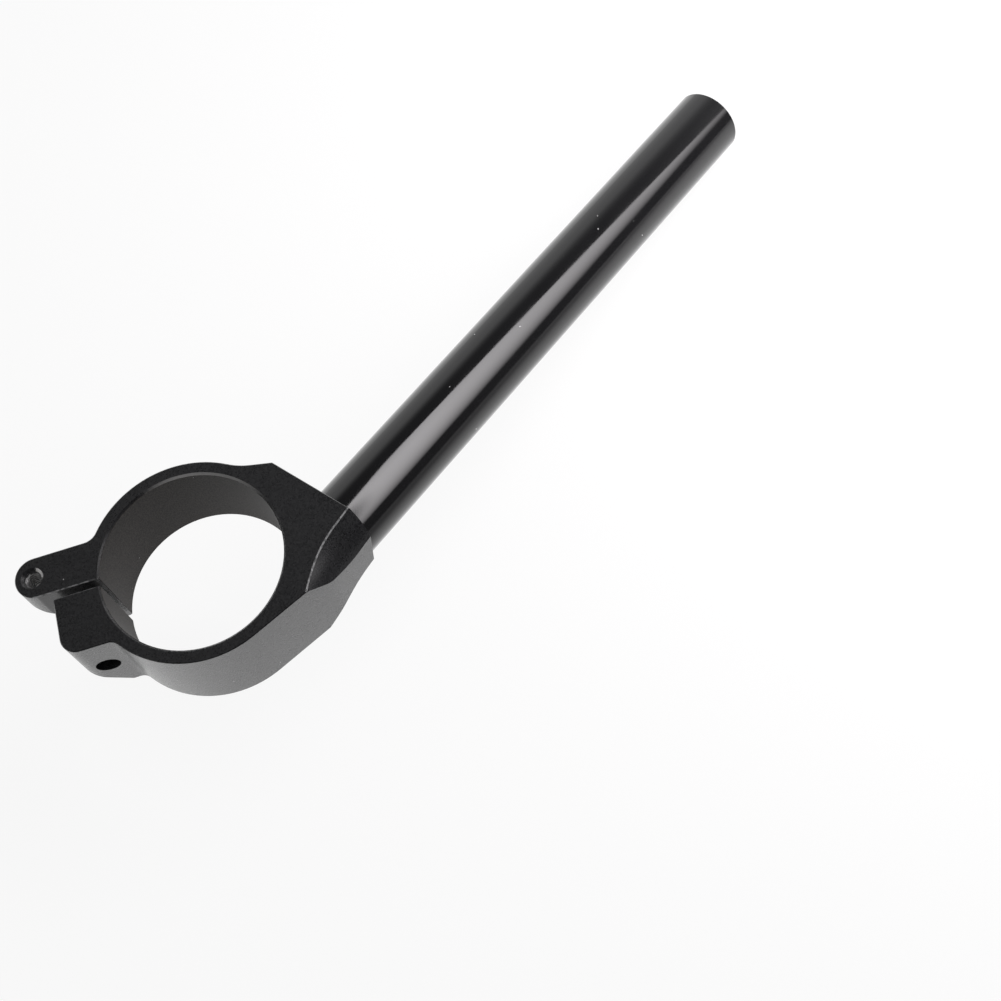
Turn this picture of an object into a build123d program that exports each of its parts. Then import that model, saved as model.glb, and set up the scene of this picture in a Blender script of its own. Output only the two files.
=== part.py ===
from build123d import *
import os
from math import cos, radians, sin, sqrt, tan

# Clip-on handlebar for one side of a motorcycle: a split clamp, machined from one
# billet, grips the fork tube, and the grip tube is pressed into the clamp's boss.
# Origin: centre of the fork bore at half the clamp's height. +Z runs up the fork.
# The bar leaves along +X, seen from above, and droops as it goes out.

# Fork bore and split ring
fork_diameter = 52.0
clamp_height = 28.0
ring_wall = 3.9
bore_bevel = 0.6
edge_break = 0.25

# Slit, and the plan direction it runs out in
slit_angle = 139.6
slit_width = 2.2
slit_offset = 1.9

# Ear, the strip on one side of the slit, with a round end and a tapped hole down it
ear_width = 12.0
ear_reach = 13.4
ear_root_radius = 4.5
ear_hole_reach = 14.4

# Lug, the block on the other side, that the pinch bolt's head pulls on
lug_thickness = 17.3
lug_reach = 9.6
lug_corner_radius = 5.0
lug_root_radius = 3.5

# Underside of ear and lug, cut away at this angle from close outside the bore
underside_angle = 45.0
underside_start = 2.5

# Screw holes: M6 clearance, M6 tapping drill, and the countersink on the ear
bolt_clearance = 7.0
tapping_drill = 5.0
countersink_diameter = 6.5
countersink_angle = 90.0
pinch_bolt_reach = 5.4

# Bar: grip tube with a turned-down spigot
bar_diameter = 22.2
bar_bore = 14.0
bar_length = 200.0
bar_droop = 12.0
bar_end_bevel = 0.5
spigot_diameter = 18.0
spigot_length = 9.0
socket_clearance = 0.3

# Where the bar stands beside the fork: its axis inside the bore's edge, the bottom edge
# of its seat outside the bore's edge, and its axis below half height at the seat
bar_inset = 2.4
seat_reach = 3.45
bar_drop_at_seat = 0.9

# Boss round the bar
boss_outer_wall = 0.7
boss_inner_wall = 11.0
inner_side_angle = 52.5
inner_root_radius = 20.0
outer_side_angle = 15.4
outer_bend_radius = 12.0

# Flare turned on the boss's two outer corners, about a line parallel with X, from a
# straight neck that ends this far back from the bottom edge of the seat
flare_axis_inset = 3.6
flare_margin = 5.3
flare_radius = 60.0
flare_start = 1.25
flare_length = 30.0

# Room that a cutting shape keeps beyond what it cuts
clear = 20.0

fork_radius = fork_diameter / 2
ring_radius = fork_radius + ring_wall
half_height = clamp_height / 2
bar_radius = bar_diameter / 2
droop = radians(bar_droop)

# Slit frame: x runs out along the slit, y towards the lug, origin on the fork axis
slit_plane = Plane.XY.rotated((0, 0, slit_angle))
slit_floor = slit_plane.offset(-half_height)
slit_far = -(slit_offset + slit_width / 2)
slit_near = -(slit_offset - slit_width / 2)
ear_radius = ear_width / 2
ear_centre = (ring_radius + ear_reach, slit_far - ear_radius)
ear_outer = slit_far - ear_width
lug_outer = slit_near + lug_thickness
lug_end = ring_radius + lug_reach

# Upright plane along the slit, and the cut under ear and lug in it
side_plane = Plane(origin=(0, 0, 0), x_dir=slit_plane.x_dir, z_dir=-slit_plane.y_dir)
cut_start = fork_radius + underside_start
cut_end = ear_centre[0] + ear_radius + clear
cut_rise = (cut_end - cut_start) * tan(radians(underside_angle))

# Upright edges to round, each by a point at half height, and where the underside starts
ear_root = slit_plane.from_local_coords((sqrt(ring_radius**2 - ear_outer**2), ear_outer, 0))
lug_root = slit_plane.from_local_coords((sqrt(ring_radius**2 - lug_outer**2), lug_outer, 0))
lug_corner = slit_plane.from_local_coords((lug_end, lug_outer, 0))
cut_line = slit_plane.from_local_coords((cut_start, 0, -half_height))

# Mouths of the screw holes: pinch bolt in lug and ear, and the tapped hole down the ear
lug_mouth = Plane(
    origin=slit_plane.from_local_coords((fork_radius + pinch_bolt_reach, lug_outer, 0)),
    x_dir=slit_plane.x_dir,
    z_dir=slit_plane.y_dir,
)
ear_mouth = lug_mouth.offset(slit_far - lug_outer)
ear_hole = (ring_radius + ear_hole_reach, ear_centre[1])

# Plan of the boss: bar axis, bottom and top edges of the seat, and the two sides
bar_y = -(fork_radius - bar_inset)
seat_foot = fork_radius + seat_reach
seat_x = seat_foot + clamp_height * tan(droop)
outer_y = bar_y - bar_radius - boss_outer_wall
inner_y = bar_y + bar_radius + boss_inner_wall
inner_lean = radians(inner_side_angle)
outer_lean = radians(outer_side_angle)
seat_corner = (seat_x, inner_y)

# Inner side: the line back from the seat corner, and where it crosses the ring
inner_gap = seat_x * sin(inner_lean) + inner_y * cos(inner_lean)
inner_foot = (inner_gap * sin(inner_lean), inner_gap * cos(inner_lean))
inner_chord = sqrt(ring_radius**2 - inner_gap**2)
inner_root = (
    inner_foot[0] + inner_chord * cos(inner_lean),
    inner_foot[1] - inner_chord * sin(inner_lean),
)

# Outer side: tangent to the ring, then parallel with the bar
outer_touch = (-ring_radius * sin(outer_lean), -ring_radius * cos(outer_lean))
outer_bend = (outer_touch[0] + (outer_touch[1] - outer_y) / tan(outer_lean), outer_y)

# Flare: its axis, the neck's radius, and where the sweep back starts and ends
flare_y = bar_y + flare_axis_inset
flare_axis = Axis((0, flare_y, 0), (1, 0, 0))
flare_plane = Plane(origin=(0, flare_y, 0), x_dir=(1, 0, 0), z_dir=(0, -1, 0))
flare_neck = bar_radius + flare_margin
flare_end = seat_foot - flare_start
flare_back = flare_end - flare_length
flare_mouth = flare_neck + flare_radius - sqrt(flare_radius**2 - flare_length**2)

# Bar frame: z out along the bar, origin where its axis meets the seat
seat_axis_x = seat_x - (half_height + bar_drop_at_seat) * tan(droop)
seat_plane = Plane(
    origin=(seat_axis_x, bar_y, -bar_drop_at_seat),
    x_dir=(0, 1, 0),
    z_dir=(cos(droop), 0, -sin(droop)),
)
seat_cut = 2 * (seat_x + clear)

with BuildPart() as clamp:
    # Ring and boss
    with BuildSketch(Plane.XY.offset(-half_height)) as outline:
        Circle(ring_radius)
        with BuildLine():
            Polyline(
                (0, 0),
                inner_foot,
                seat_corner,
                (seat_x, outer_y),
                outer_bend,
                outer_touch,
                close=True,
            )
        make_face()
        fillet(outline.vertices().sort_by_distance((*inner_root, -half_height))[0], inner_root_radius)
        fillet(outline.vertices().sort_by_distance((*outer_bend, -half_height))[0], outer_bend_radius)
    extrude(amount=clamp_height)

    # Seat for the bar, square to the bar's axis
    with BuildSketch(seat_plane):
        Rectangle(seat_cut, seat_cut)
    extrude(amount=clear, mode=Mode.SUBTRACT)

    # Flare on the outer corners
    with BuildSketch(flare_plane):
        with BuildLine():
            RadiusArc((flare_back, flare_mouth), (flare_end, flare_neck), -flare_radius)
            Polyline(
                (flare_end, flare_neck),
                (seat_x + clear, flare_neck),
                (seat_x + clear, flare_mouth),
                (flare_back, flare_mouth),
            )
        make_face()
    revolve(axis=flare_axis, revolution_arc=180, mode=Mode.SUBTRACT)

    # Ear and lug
    with BuildSketch(slit_floor):
        with BuildLine():
            Polyline(
                (ear_centre[0], ear_outer),
                (0, ear_outer),
                (0, slit_far),
                (ear_centre[0], slit_far),
            )
            RadiusArc((ear_centre[0], slit_far), (ear_centre[0], ear_outer), ear_radius)
        make_face()
        with BuildLine():
            Polyline(
                (0, slit_near),
                (lug_end, slit_near),
                (lug_end, lug_outer),
                (0, lug_outer),
                close=True,
            )
        make_face()
    extrude(amount=clamp_height)
    for corner, radius in (
        (ear_root, ear_root_radius),
        (lug_root, lug_root_radius),
        (lug_corner, lug_corner_radius),
    ):
        fillet(clamp.edges().filter_by(Axis.Z).sort_by_distance(corner)[0], radius)

    # Underside of ear and lug
    with BuildSketch(side_plane):
        Polygon(
            (cut_start, -half_height),
            (cut_end, -half_height),
            (cut_end, cut_rise - half_height),
            align=None,
        )
    extrude(amount=2 * lug_outer, both=True, mode=Mode.SUBTRACT)

    # Broken edge round the bottom face, but not where the underside starts
    chamfer(clamp.faces().sort_by(Axis.Z)[0].edges().sort_by_distance(cut_line)[1:], edge_break)

    # Fork bore, bevelled at both ends, and the slit from it
    Hole(radius=fork_radius)
    chamfer(clamp.faces().sort_by(SortBy.AREA)[-1].edges().filter_by(GeomType.CIRCLE), bore_bevel)
    with BuildSketch(slit_floor):
        with Locations((cut_end / 2, -slit_offset)):
            Rectangle(cut_end, slit_width)
    extrude(amount=clamp_height, mode=Mode.SUBTRACT)

    # Broken edge round the top face, outside the bore's bevel
    chamfer(clamp.faces().sort_by(Axis.Z)[-1].edges().sort_by(SortBy.LENGTH)[:-1], edge_break)

    # Socket for the bar's spigot
    with Locations(seat_plane):
        Hole(radius=spigot_diameter / 2, depth=spigot_length + socket_clearance)

    # Pinch bolt: clearance through the lug, tapping drill through the ear
    with Locations(lug_mouth):
        Hole(radius=bolt_clearance / 2, depth=lug_thickness)
    with Locations(ear_mouth):
        Hole(radius=tapping_drill / 2, depth=ear_width)

    # Tapped hole down through the ear's round end
    with Locations(Location(slit_plane.offset(half_height).from_local_coords(ear_hole))):
        CounterSinkHole(
            radius=tapping_drill / 2,
            counter_sink_radius=countersink_diameter / 2,
            counter_sink_angle=countersink_angle,
        )

with BuildPart() as bar:
    # Grip tube from its shoulder on the seat, and the spigot behind it
    with BuildSketch(seat_plane):
        Circle(bar_radius)
    extrude(amount=bar_length)
    with BuildSketch(seat_plane):
        Circle(spigot_diameter / 2)
    extrude(amount=-spigot_length)
    with Locations(seat_plane):
        Hole(radius=bar_bore / 2)
    chamfer(bar.faces().sort_by(Axis.X)[-1].edges(), bar_end_bevel)

os.makedirs("parts", exist_ok=True)
clamp.part.label = "fork_clamp"
export_step(clamp.part, "parts/fork_clamp.step")
bar.part.label = "handlebar_tube"
export_step(bar.part, "parts/handlebar_tube.step")
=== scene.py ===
import math

import bpy
from mathutils import Matrix, Vector


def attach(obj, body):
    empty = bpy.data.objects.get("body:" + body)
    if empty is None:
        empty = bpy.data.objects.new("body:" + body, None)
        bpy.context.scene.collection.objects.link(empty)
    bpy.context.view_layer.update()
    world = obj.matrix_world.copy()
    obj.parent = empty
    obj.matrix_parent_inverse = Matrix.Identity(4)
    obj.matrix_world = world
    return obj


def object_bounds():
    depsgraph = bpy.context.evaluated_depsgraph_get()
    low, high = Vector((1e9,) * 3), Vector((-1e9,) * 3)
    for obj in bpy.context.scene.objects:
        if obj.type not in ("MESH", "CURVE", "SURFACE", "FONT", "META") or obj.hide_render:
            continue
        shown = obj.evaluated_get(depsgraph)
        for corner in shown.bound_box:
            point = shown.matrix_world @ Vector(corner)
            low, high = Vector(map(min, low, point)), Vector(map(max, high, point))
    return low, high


MM = 0.001
UP = Vector((0, 0, 1))
WHITE = (1, 1, 1, 1)

# Camera: where it stands, where it looks, the way up in the picture, and its lens
CAMERA_PLACE = Vector((-66.917, -218.267, 423.468)) * MM
CAMERA_LOOK = Vector((0.27566, 0.33963, -0.89925))
CAMERA_UP = Vector((0.78206, 0.46470, 0.41525))
FOCAL_LENGTH = 60.556
SENSOR_WIDTH = 36.0
NEAR_CLIP = 10 * MM

# Softbox beside the bar: its centre, the way it faces, the way its shorter edge runs, and its
# size. It is dark below the first X and Y of its flags, and at full level beyond the second.
SOFTBOX_PLACE = Vector((372.8, -314.9, 216.2)) * MM
SOFTBOX_FACES = Vector((-0.1161, 0.3116, -0.9431))
SOFTBOX_EDGE = Vector((-0.7077, -0.6922, -0.1415))
SOFTBOX_SIZE = (606 * MM, 419 * MM)
SOFTBOX_SPREAD = math.radians(115.3)
SOFTBOX_POWER = 4.0
SOFTBOX_COLOR = (1.0, 0.97, 0.99)
SOFTBOX_FLAG_X = (235 * MM, 262 * MM)
SOFTBOX_FLAG_Y = (-530 * MM, -500 * MM)

# Room: the level of the light from all round, and what gloss mirrors, which is a dark level
# plus a pale wall on one side. The wall fades in and out where a mirrored direction's part
# along the wall's way, and its upward part, pass through these values.
AMBIENT_LEVEL = 0.45
DARK_LEVEL = 0.1
WALL_LEVEL = 0.9
WALL_TURN = math.radians(50)
WALL_WAY = (math.cos(WALL_TURN), math.sin(WALL_TURN), 0)
WALL_EDGE = (0.0, 0.5)
WALL_TOP = (0.42, 0.68)

# Floor: its size, its paper, and the share of its look that is light of its own, which keeps
# the shadow faint. In the gloss its level falls from near to far between these values of Y.
FLOOR_SPAN = 700 * MM
PAPER_COLOR = (0.85, 0.85, 0.85, 1)
FLOOR_SHARE = 0.88
FLOOR_NEAR = 1.4
FLOOR_FAR = 0.35
FLOOR_FALL = (-170 * MM, -55 * MM)

# Clamp, as in the CAD model: bore, half height, and the slit's direction and middle line
BORE_RADIUS = 26 * MM
HALF_HEIGHT = 14 * MM
SLIT_TURN = math.radians(139.6)
SLIT_OFFSET = -1.9 * MM
SLIT_ALONG = Vector((math.cos(SLIT_TURN), math.sin(SLIT_TURN), 0))
SLIT_ACROSS = Vector((-math.sin(SLIT_TURN), math.cos(SLIT_TURN), 0))

# Threaded holes in the slit's frame: distance out, across, height, and length of thread
EAR_HOLE_OUT = 44.3 * MM
EAR_HOLE_ACROSS = -9.0 * MM
EAR_HOLE_BOTTOM = 4.7 * MM
EAR_HOLE_LENGTH = 8.3 * MM
EAR_HOLE_MOUTH = EAR_HOLE_OUT * SLIT_ALONG + EAR_HOLE_ACROSS * SLIT_ACROSS + HALF_HEIGHT * UP
PINCH_HOLE_OUT = 31.4 * MM
PINCH_HOLE_MOUTH = -3.2 * MM
PINCH_HOLE_LENGTH = 11.6 * MM

# M6 threads: tapping drill's radius, pitch, how far the crests stand into the hole, and how far
# the ridge's foot stands in the wall. Then where the corners of the ridge's section lie up the
# pitch, which of its sides is the crest, and the steps in a turn.
THREAD_RADIUS = 2.5 * MM
THREAD_PITCH = 1.0 * MM
THREAD_DEPTH = 0.32 * MM
THREAD_SINK = 0.02 * MM
THREAD_RISES = (0.06, 0.38, 0.62, 0.94)
CREST_SIDE = 1
THREAD_STEPS = 40

# Threads' colours, from dark to light: the flanks darker as painted shade and the crests lighter
# as painted glints. Then their roughness, and their mottling: scale of the noise, and the part of
# it that counts
FLANK_SHADE_COLORS = ((0.05, 0.05, 0.052, 1), (0.3, 0.3, 0.3, 1))
CREST_GLINT_COLORS = ((0.6, 0.6, 0.6, 1), (0.95, 0.94, 0.92, 1))
THREAD_ROUGHNESS = (0.35, 0.22)
THREAD_MOTTLE_SCALE = 1200.0
THREAD_MOTTLE = (0.42, 0.62)

# Where the clamp's finishes and painted highlights end, each fading between two values: the bore's
# wall and bevel from the bore's axis, the slit's walls and bevels from its middle, how far out the
# slit starts, the countersink from its middle, and the height of the top edges
BORE_WALL = (BORE_RADIUS + 0.05 * MM, BORE_RADIUS + 0.15 * MM)
BORE_BEVEL = (26.6 * MM, 26.7 * MM)
SLIT_WALL = (1.11 * MM, 1.16 * MM)
SLIT_BEVEL = (1.45 * MM, 1.55 * MM)
SLIT_START = (26 * MM, 29 * MM)
COUNTERSINK = (3.3 * MM, 3.5 * MM)
TOP_EDGE = (HALF_HEIGHT - 0.9 * MM, HALF_HEIGHT - 0.8 * MM)

# The upward part of the normal: lowest, highest and fade, on the flare, on the edge above the
# flare and on the slit's bevels. On the flat top and bottom it passes the last pair.
FLARE_RISE = (0.1, 0.87, 0.03)
FLARE_EDGE_RISE = (0.89, 0.975, 0.02)
SLIT_BEVEL_RISE = (0.6, 0.8, 0.05)
FLAT_RISE = (0.9, 0.99)

# Where the flare faces, and the sides of the countersink and of the bore's bevel that get a
# painted highlight. Each fades in as the normal's part along that way passes through its pair.
FLARE_FACES = (0, -1, 0)
FLARE_TURN = (0.3, 0.4)
CRESCENT_FACES = (-0.684, 0.18, 0.707)
CRESCENT_TURN = (0.86, 0.97)
BEVEL_FACES = (-0.624, -0.332, 0.707)
BEVEL_TURN = (0.84, 1.0)
BEVEL_SHARE = 0.3

# Clamp's colours: blasted and turned surfaces from dark to light, the mottling over the blasted
# one, edges rubbed thin and painted light as their highlight, a painted highlight on one side of
# the countersink and bevel, and dust
BLASTED_COLORS = ((0.003, 0.0032, 0.0042, 1), (0.018, 0.0182, 0.0198, 1))
TURNED_COLORS = ((0.008, 0.0064, 0.0055, 1), (0.032, 0.0275, 0.0248, 1))
MOTTLE_COLOR = (0.022, 0.022, 0.023, 1)
MOTTLE_SHARE = 0.3
RUBBED_HIGHLIGHT_EDGE_COLOR = (0.27, 0.27, 0.275, 1)
PAINTED_HIGHLIGHT_COLOR = (0.75, 0.74, 0.73, 1)
CLAMP_DUST_COLOR = (0.6, 0.6, 0.6, 1)

# Clamp's grain, mottling and the patches of rubbed edges painted light as highlights: scale of
# the noise and the part of it that counts
GRAIN_SCALE = 2400.0
GRAIN_PORES = (0.35, 0.65)
GRAIN_GLOSS = (0.3, 0.7)
MOTTLE_SCALE = 60.0
MOTTLE = (0.3, 0.7)
EDGE_LINE_SCALE = 900.0
EDGE_LINE_PATCHES = (0.35, 0.6)
EDGE_LINE_SHARES = (0.25, 1.0)

# Clamp's gloss: roughness of the blasted and turned surfaces, specular level of bright and dull
# ones, and the grain's strength where rough and where smooth
BLASTED_ROUGHNESS = (0.27, 0.35)
TURNED_ROUGHNESS = 0.68
ANODISED_IOR = 1.77
SPECULAR_LEVELS = (0.5, 0.17)
GRAIN_STRENGTHS = (1.0, 0.2)
GRAIN_DEPTH = 0.17 * MM

# Bar: its colour and dust, its gloss, and its drawn lines, which are a noise stretched along it
BAR_COLOR = (0.006, 0.006, 0.0066, 1)
BAR_DUST_COLOR = (0.5, 0.5, 0.5, 1)
BAR_ROUGHNESS = (0.07, 0.11)
BAR_IOR = 1.5
SMUDGE_SCALE = 45.0
SMUDGES = (0.35, 0.7)
DRAWN_STRETCH = (0.03, 1.0, 1.0)
DRAWN_SCALE = 1500.0
BAR_GRAIN_SCALE = 2600.0
BAR_GRAIN_SHARE = 0.7
DRAWN_STRENGTH = 0.5
DRAWN_DEPTH = 0.004 * MM

# Dust: cells to a metre, a speck's radius in cells, and the share of cells that hold a speck.
# A speck has its full colour in its core, which is this part of its radius.
CLAMP_DUST = (250.0, 0.05, 0.3)
BAR_DUST = (200.0, 0.05, 0.4)
SPECK_CORE = 0.6

# Octaves in a fine noise and in a cloudy one
FINE_DETAIL = 2.0
CLOUDY_DETAIL = 4.0

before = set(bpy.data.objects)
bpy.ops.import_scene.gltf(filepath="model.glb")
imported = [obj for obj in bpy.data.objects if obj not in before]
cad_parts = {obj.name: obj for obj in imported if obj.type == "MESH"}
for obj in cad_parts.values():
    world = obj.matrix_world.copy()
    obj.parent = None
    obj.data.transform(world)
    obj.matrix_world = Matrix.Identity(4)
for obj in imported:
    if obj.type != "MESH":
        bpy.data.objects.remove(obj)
cad_box = [list(corner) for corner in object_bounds()]


def node(tree, kind, inputs=None, **settings):
    """Adds a node, sets its properties, and fills or links its inputs by name or number."""
    made = tree.nodes.new(kind)
    for name, value in settings.items():
        setattr(made, name, value)
    for key, value in (inputs or {}).items():
        if isinstance(value, bpy.types.NodeSocket):
            tree.links.new(value, made.inputs[key])
        else:
            made.inputs[key].default_value = value
    return made


def math_node(tree, operation, *values):
    """A Math node's result."""
    return node(tree, "ShaderNodeMath", dict(enumerate(values)), operation=operation).outputs[0]


def vector_node(tree, operation, *values):
    """A Vector Math node's outputs."""
    made = node(tree, "ShaderNodeVectorMath", dict(enumerate(values)), operation=operation)
    return made.outputs


def product(tree, *values):
    """All the values multiplied together."""
    total = values[0]
    for value in values[1:]:
        total = math_node(tree, "MULTIPLY", total, value)
    return total


def highest(tree, *values):
    """The highest of the values."""
    top = values[0]
    for value in values[1:]:
        top = math_node(tree, "MAXIMUM", top, value)
    return top


def ramp(tree, value, low, high, start=0.0, end=1.0):
    """Value taken smoothly from low..high to start..end."""
    made = node(
        tree,
        "ShaderNodeMapRange",
        {"Value": value, "From Min": low, "From Max": high, "To Min": start, "To Max": end},
        interpolation_type="SMOOTHSTEP",
    )
    return made.outputs["Result"]


def fade(tree, value, low, high):
    """1 below low, and smoothly down to 0 at high."""
    return ramp(tree, value, low, high, 1.0, 0.0)


def band(tree, value, low, high, soft):
    """1 between low and high, and 0 outside them."""
    return product(tree, ramp(tree, value, low - soft, low), fade(tree, value, high, high + soft))


def blend(tree, share, first, second):
    """Two numbers, or a number and a socket, mixed by share."""
    return node(tree, "ShaderNodeMix", {0: share, 2: first, 3: second}).outputs[0]


def tint(tree, share, first, second):
    """Two colours mixed by share."""
    mixed = node(tree, "ShaderNodeMix", {0: share, 6: first, 7: second}, data_type="RGBA")
    return mixed.outputs[2]


def component(tree, vector, axis):
    """A vector's part along X, Y or Z."""
    return node(tree, "ShaderNodeSeparateXYZ", {0: vector}).outputs[axis]


def along(tree, vector, way):
    """How far a vector reaches along a way."""
    return vector_node(tree, "DOT_PRODUCT", vector, way)["Value"]


def noise(tree, place, scale, detail=FINE_DETAIL):
    """Noise from 0 to 1, with features about 1/scale metres across."""
    made = node(tree, "ShaderNodeTexNoise", {"Vector": place, "Scale": scale, "Detail": detail})
    return made.outputs["Fac"]


def specks(tree, place, scale, size, share):
    """Dust: dots of a radius of size cells, in a share of the cells."""
    cells = node(tree, "ShaderNodeTexVoronoi", {"Vector": place, "Scale": scale}).outputs
    chosen = node(tree, "ShaderNodeSeparateColor", {0: cells["Color"]}).outputs[0]
    return product(
        tree,
        fade(tree, cells["Distance"], size * SPECK_CORE, size),
        math_node(tree, "LESS_THAN", chosen, share),
    )


def empty_tree(owner):
    """The owner's node tree, with nothing in it."""
    owner.use_nodes = True
    owner.node_tree.nodes.clear()
    return owner.node_tree


def start_material(name):
    """A new material, its empty node tree, and the socket that gives the place on its object."""
    material = bpy.data.materials.new(name)
    tree = empty_tree(material)
    return material, tree, node(tree, "ShaderNodeTexCoord").outputs["Object"]


def finish_material(tree, inputs):
    """Makes a Principled shader with these inputs the surface of the tree's material."""
    shader = node(tree, "ShaderNodeBsdfPrincipled", inputs)
    node(tree, "ShaderNodeOutputMaterial", {"Surface": shader.outputs["BSDF"]})


def clamp_material():
    """Satin black anodised aluminium: blasted outside, turned in the bore, with painted highlights
    on a few edges.
    """
    material, tree, place = start_material("clamp_anodised_satin")
    normal = node(tree, "ShaderNodeNewGeometry").outputs["True Normal"]
    upward = component(tree, normal, "Z")
    steep = math_node(tree, "ABSOLUTE", upward)
    at_top = ramp(tree, component(tree, place, "Z"), *TOP_EDGE)

    # Bore, and the painted highlight on one side of its bevel
    flat = vector_node(tree, "MULTIPLY", place, (1, 1, 0))[0]
    from_axis = vector_node(tree, "LENGTH", flat)["Value"]
    in_bore = fade(tree, from_axis, *BORE_WALL)
    on_bevel = fade(tree, from_axis, *BORE_BEVEL)
    bevel_side = ramp(tree, along(tree, normal, BEVEL_FACES), *BEVEL_TURN)
    bevel_highlight = product(tree, on_bevel, bevel_side, BEVEL_SHARE)

    # Slit, and its edges, rubbed lighter and painted light as their highlight
    past_slit = math_node(tree, "SUBTRACT", along(tree, place, SLIT_ACROSS), SLIT_OFFSET)
    from_slit = math_node(tree, "ABSOLUTE", past_slit)
    out_on_slit = ramp(tree, along(tree, place, SLIT_ALONG), *SLIT_START)
    in_slit = product(tree, out_on_slit, fade(tree, from_slit, *SLIT_WALL))
    beside_slit = fade(tree, from_slit, *SLIT_BEVEL)
    slit_line = product(tree, beside_slit, out_on_slit, band(tree, upward, *SLIT_BEVEL_RISE))

    # Flare, and the edge above it, rubbed lighter and painted light as its highlight
    flare_side = ramp(tree, along(tree, normal, FLARE_FACES), *FLARE_TURN)
    on_flare = product(tree, band(tree, steep, *FLARE_RISE), flare_side)
    flare_line = band(tree, upward, *FLARE_EDGE_RISE)

    # Painted highlight on one side of the ear's countersink
    from_hole = vector_node(tree, "DISTANCE", place, EAR_HOLE_MOUTH)["Value"]
    crescent_side = ramp(tree, along(tree, normal, CRESCENT_FACES), *CRESCENT_TURN)
    countersink_highlight = product(tree, fade(tree, from_hole, *COUNTERSINK), crescent_side)

    # Colour: each finish, painted highlight and dust over the one before
    grain = noise(tree, place, GRAIN_SCALE)
    pores = ramp(tree, grain, *GRAIN_PORES)
    patches = ramp(tree, noise(tree, place, EDGE_LINE_SCALE), *EDGE_LINE_PATCHES, *EDGE_LINE_SHARES)
    cloudy = noise(tree, place, MOTTLE_SCALE, CLOUDY_DETAIL)
    mottle = product(tree, ramp(tree, cloudy, *MOTTLE), MOTTLE_SHARE)
    color = tint(tree, pores, *BLASTED_COLORS)
    for share, finish in (
        (mottle, MOTTLE_COLOR),
        (in_bore, tint(tree, pores, *TURNED_COLORS)),
        # Edges partly rubbed, partly painted light as the highlight they catch, broken into
        # patches
        (product(tree, at_top, patches, highest(tree, flare_line, slit_line)), RUBBED_HIGHLIGHT_EDGE_COLOR),
        # Painted highlight: a light colour on one side of the countersink and of the bore's bevel
        (product(tree, at_top, highest(tree, countersink_highlight, bevel_highlight)), PAINTED_HIGHLIGHT_COLOR),
        (specks(tree, place, *CLAMP_DUST), CLAMP_DUST_COLOR),
    ):
        color = tint(tree, share, color, finish)

    # Gloss and grain: the grain is fainter where the clamp is dull or flat
    dull = highest(tree, in_bore, on_flare, in_slit)
    smooth = highest(tree, dull, ramp(tree, steep, *FLAT_RISE))
    strength = ramp(tree, smooth, 0.0, 1.0, *GRAIN_STRENGTHS)
    bump = node(
        tree, "ShaderNodeBump", {"Height": grain, "Strength": strength, "Distance": GRAIN_DEPTH}
    )
    blasted = ramp(tree, grain, *GRAIN_GLOSS, *BLASTED_ROUGHNESS)
    finish_material(
        tree,
        {
            "Base Color": color,
            "Roughness": blend(tree, in_bore, blasted, TURNED_ROUGHNESS),
            "IOR": ANODISED_IOR,
            "Specular IOR Level": ramp(tree, dull, 0.0, 1.0, *SPECULAR_LEVELS),
            "Normal": bump.outputs["Normal"],
        },
    )
    return material


def bar_material():
    """Polished black anodised aluminium, with faint drawn lines along the tube."""
    material, tree, place = start_material("bar_anodised_gloss")
    stretched = node(tree, "ShaderNodeMapping", {"Vector": place, "Scale": DRAWN_STRETCH})
    drawn = noise(tree, stretched.outputs[0], DRAWN_SCALE)
    fine = noise(tree, place, BAR_GRAIN_SCALE)
    height = math_node(tree, "MULTIPLY_ADD", fine, BAR_GRAIN_SHARE, drawn)
    bump = node(
        tree,
        "ShaderNodeBump",
        {"Height": height, "Strength": DRAWN_STRENGTH, "Distance": DRAWN_DEPTH},
    )
    smudges = ramp(tree, noise(tree, place, SMUDGE_SCALE, CLOUDY_DETAIL), *SMUDGES)
    finish_material(
        tree,
        {
            "Base Color": tint(tree, specks(tree, place, *BAR_DUST), BAR_COLOR, BAR_DUST_COLOR),
            "Roughness": ramp(tree, smudges, 0.0, 1.0, *BAR_ROUGHNESS),
            "IOR": BAR_IOR,
            "Normal": bump.outputs["Normal"],
        },
    )
    return material


def thread_material(name, colors):
    """A surface of the cut thread, mottled between two colours, which paint shade on the flanks
    and glints on the crests.
    """
    material, tree, place = start_material(name)
    mottle = ramp(tree, noise(tree, place, THREAD_MOTTLE_SCALE), *THREAD_MOTTLE)
    finish_material(
        tree,
        {
            "Base Color": tint(tree, mottle, *colors),
            "Roughness": ramp(tree, mottle, 0.0, 1.0, *THREAD_ROUGHNESS),
        },
    )
    return material


def seen_by(tree):
    """1 for rays from the camera, and 1 for glossy and transmission rays."""
    path = node(tree, "ShaderNodeLightPath").outputs
    return path["Is Camera Ray"], highest(tree, path["Is Glossy Ray"], path["Is Transmission Ray"])


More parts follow.
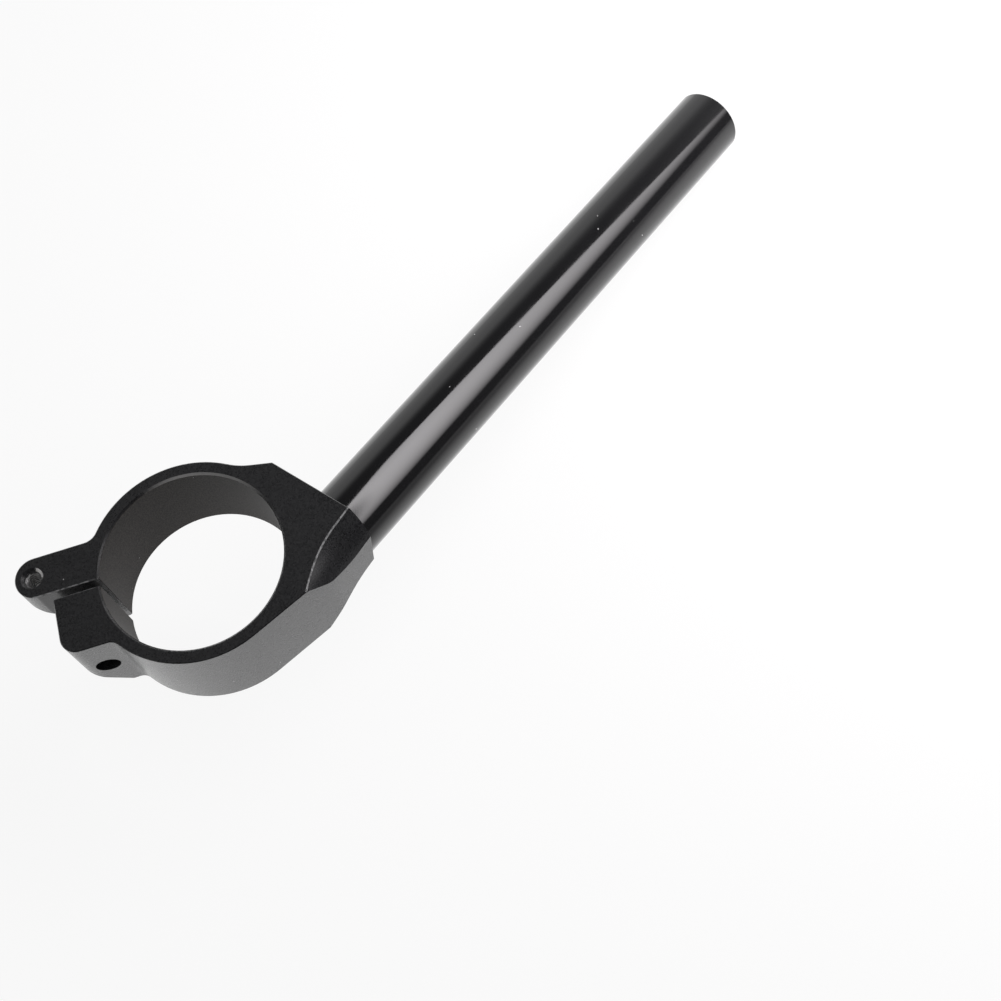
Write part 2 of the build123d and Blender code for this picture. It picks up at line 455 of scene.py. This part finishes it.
def floor_material():
    """White paper that keeps a faint shadow."""
    material = bpy.data.materials.new("floor_paper")
    tree = empty_tree(material)
    by_camera, by_gloss = seen_by(tree)
    side = component(tree, node(tree, "ShaderNodeNewGeometry").outputs["Position"], "Y")
    mirrored = ramp(tree, side, *FLOOR_FALL, FLOOR_FAR, FLOOR_NEAR)
    level = blend(tree, by_gloss, 1.0, mirrored)
    paper = node(tree, "ShaderNodeBsdfDiffuse", {"Color": PAPER_COLOR})
    white = node(tree, "ShaderNodeEmission", {"Color": WHITE, "Strength": level})
    share = product(tree, highest(tree, by_camera, by_gloss), FLOOR_SHARE)
    mixed = node(
        tree, "ShaderNodeMixShader", {0: share, 1: paper.outputs[0], 2: white.outputs[0]}
    )
    node(tree, "ShaderNodeOutputMaterial", {"Surface": mixed.outputs[0]})
    return material


def place_object(name, data):
    """A new object in the scene that shows data."""
    made = bpy.data.objects.new(name, data)
    bpy.context.scene.collection.objects.link(made)
    return made


def make_floor():
    """A square of paper under the middle of the part, at its lowest point."""
    low = cad_box[0][2]
    centre = [(cad_box[0][i] + cad_box[1][i]) / 2 for i in range(2)]
    half = FLOOR_SPAN / 2
    signs = ((-1, -1), (1, -1), (1, 1), (-1, 1))
    corners = [(centre[0] + x * half, centre[1] + y * half, low) for x, y in signs]
    mesh = bpy.data.meshes.new("floor")
    mesh.from_pydata(corners, [], [(0, 1, 2, 3)])
    mesh.materials.append(floor_material())
    place_object("floor", mesh)


def make_world():
    """White to the camera; to gloss, a pale wall on one side and a dark room elsewhere."""
    world = bpy.data.worlds.new("studio")
    bpy.context.scene.world = world
    tree = empty_tree(world)
    by_camera, by_gloss = seen_by(tree)
    way = node(tree, "ShaderNodeTexCoord").outputs["Generated"]
    beside = ramp(tree, along(tree, way, WALL_WAY), *WALL_EDGE)
    wall = product(tree, beside, fade(tree, component(tree, way, "Z"), *WALL_TOP))
    room = math_node(tree, "MULTIPLY_ADD", wall, WALL_LEVEL, DARK_LEVEL)
    level = blend(tree, by_camera, blend(tree, by_gloss, AMBIENT_LEVEL, room), 1.0)
    sky = node(tree, "ShaderNodeBackground", {"Color": WHITE, "Strength": level})
    node(tree, "ShaderNodeOutputWorld", {"Surface": sky.outputs[0]})


def facing(place, look, up):
    """Matrix of an object at place that looks along look, with up as its upright."""
    back = -look.normalized()
    across = up.cross(back).normalized()
    turned = Matrix((across, back.cross(across), back)).transposed()
    return Matrix.Translation(place) @ turned.to_4x4()


def make_softbox():
    """The one lamp: a rectangle of soft light, partly covered by two flags."""
    light = bpy.data.lights.new("softbox", "AREA")
    light.shape = "RECTANGLE"
    light.size, light.size_y = SOFTBOX_SIZE
    light.spread = SOFTBOX_SPREAD
    light.energy = SOFTBOX_POWER
    light.color = SOFTBOX_COLOR
    tree = empty_tree(light)
    place = node(tree, "ShaderNodeNewGeometry").outputs["Position"]
    past_x = ramp(tree, component(tree, place, "X"), *SOFTBOX_FLAG_X)
    past_y = ramp(tree, component(tree, place, "Y"), *SOFTBOX_FLAG_Y)
    glow = node(tree, "ShaderNodeEmission", {"Strength": product(tree, past_x, past_y)})
    node(tree, "ShaderNodeOutputLight", {"Surface": glow.outputs[0]})
    softbox = place_object("softbox", light)
    softbox.matrix_world = facing(SOFTBOX_PLACE, SOFTBOX_FACES, SOFTBOX_EDGE)
    softbox.visible_camera = False


def make_camera():
    """The photograph's view."""
    lens = bpy.data.cameras.new("camera")
    lens.lens = FOCAL_LENGTH
    lens.sensor_width = SENSOR_WIDTH
    lens.clip_start = NEAR_CLIP
    camera = place_object("camera", lens)
    camera.matrix_world = facing(CAMERA_PLACE, CAMERA_LOOK, CAMERA_UP)
    bpy.context.scene.camera = camera


def dress(name, material):
    """Gives a CAD node its finish."""
    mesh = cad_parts[name].data
    mesh.materials.clear()
    mesh.materials.append(material)


def make_thread(name, start, axis, across, length, materials):
    """A thread's ridge, wound up the wall of its hole from start, with flanks in painted shade and
    a crest with painted glints.
    """
    side = axis.cross(across)
    turns = (length - THREAD_PITCH) / THREAD_PITCH
    count = int(turns * THREAD_STEPS)
    foot = THREAD_RADIUS + THREAD_SINK
    crest = THREAD_RADIUS - THREAD_DEPTH
    section = [
        (radius, rise * THREAD_PITCH)
        for radius, rise in zip((foot, crest, crest, foot), THREAD_RISES)
    ]
    points = []
    for step in range(count + 1):
        turn = 2 * math.pi * step / THREAD_STEPS
        outward = math.cos(turn) * across + math.sin(turn) * side
        climb = THREAD_PITCH * step / THREAD_STEPS
        points += [start + radius * outward + (climb + rise) * axis for radius, rise in section]
    sides = len(section)
    ends = [tuple(range(sides)), tuple(count * sides + i for i in reversed(range(sides)))]
    walls = []
    for step in range(count):
        low, high = step * sides, (step + 1) * sides
        for i in range(sides):
            nearby = (i + 1) % sides
            walls.append((low + i, high + i, high + nearby, low + nearby))
    mesh = bpy.data.meshes.new(name)
    mesh.from_pydata(points, [], ends + walls)
    for material in materials:
        mesh.materials.append(material)
    # The crest takes the material with painted glints, the flanks the one with painted shade
    for face in mesh.polygons[len(ends):]:
        face.material_index = 1 if (face.index - len(ends)) % sides == CREST_SIDE else 0
    thread = place_object(name, mesh)
    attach(thread, "root")


def make_threads():
    """The M6 threads in the ear: one down its round end, and one across its root."""
    # Painted shade for the flanks and painted glints for the crests
    materials = (
        thread_material("thread_flanks_painted_shade", FLANK_SHADE_COLORS),
        thread_material("thread_crests_painted_glint", CREST_GLINT_COLORS),
    )
    ear_start = EAR_HOLE_OUT * SLIT_ALONG + EAR_HOLE_ACROSS * SLIT_ACROSS + EAR_HOLE_BOTTOM * UP
    make_thread("ear_hole_thread", ear_start, UP, SLIT_ALONG, EAR_HOLE_LENGTH, materials)
    pinch_start = PINCH_HOLE_OUT * SLIT_ALONG + PINCH_HOLE_MOUTH * SLIT_ACROSS
    make_thread("pinch_hole_thread", pinch_start, -SLIT_ACROSS, UP, PINCH_HOLE_LENGTH, materials)


dress("fork_clamp", clamp_material())
dress("handlebar_tube", bar_material())
make_threads()
make_floor()
make_world()
make_softbox()
make_camera()
bpy.context.scene.view_settings.view_transform = "Standard"
